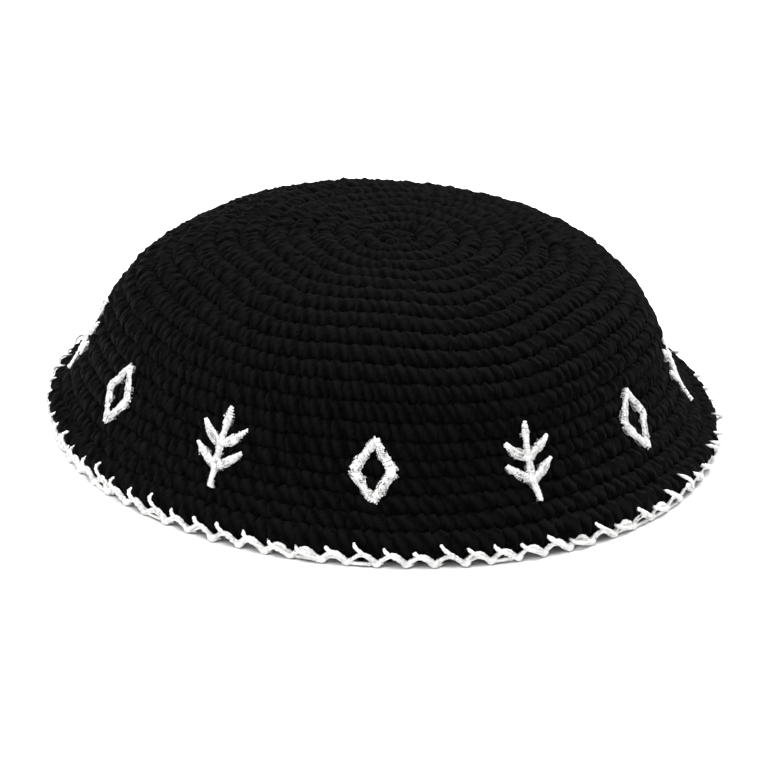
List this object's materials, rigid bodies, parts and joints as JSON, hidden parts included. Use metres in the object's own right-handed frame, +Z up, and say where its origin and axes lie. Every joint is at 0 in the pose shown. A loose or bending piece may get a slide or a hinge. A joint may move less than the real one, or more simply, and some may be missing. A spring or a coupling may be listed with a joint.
{
  "type": "kippah skullcap",
  "caption": "Low round crocheted skullcap with ridged rounds, an open hollow for the head, a looped edging under its rim and a band of raised stitched motifs.",
  "frame": {"origin": "on the floor under the middle of the rim", "axes": "+Z up through the top of the cap, -Y towards the front, +X to the right seen from the front"},
  "size_m": [0.1636, 0.1636, 0.0485],
  "materials": {
    "black_yarn": "matte crocheted cotton, plied yarn",
    "white_yarn": "matte white cotton, plied yarn and thread"
  },
  "bodies": {
    "root": {"crown": "black_yarn", "edging": "white_yarn", "motif_01": "white_yarn", "motif_02": "white_yarn", "motif_03": "white_yarn", "motif_04": "white_yarn", "motif_05": "white_yarn", "motif_06": "white_yarn", "motif_07": "white_yarn", "motif_08": "white_yarn", "motif_09": "white_yarn", "motif_10": "white_yarn", "motif_11": "white_yarn", "motif_12": "white_yarn"}
  },
  "joints": []
}
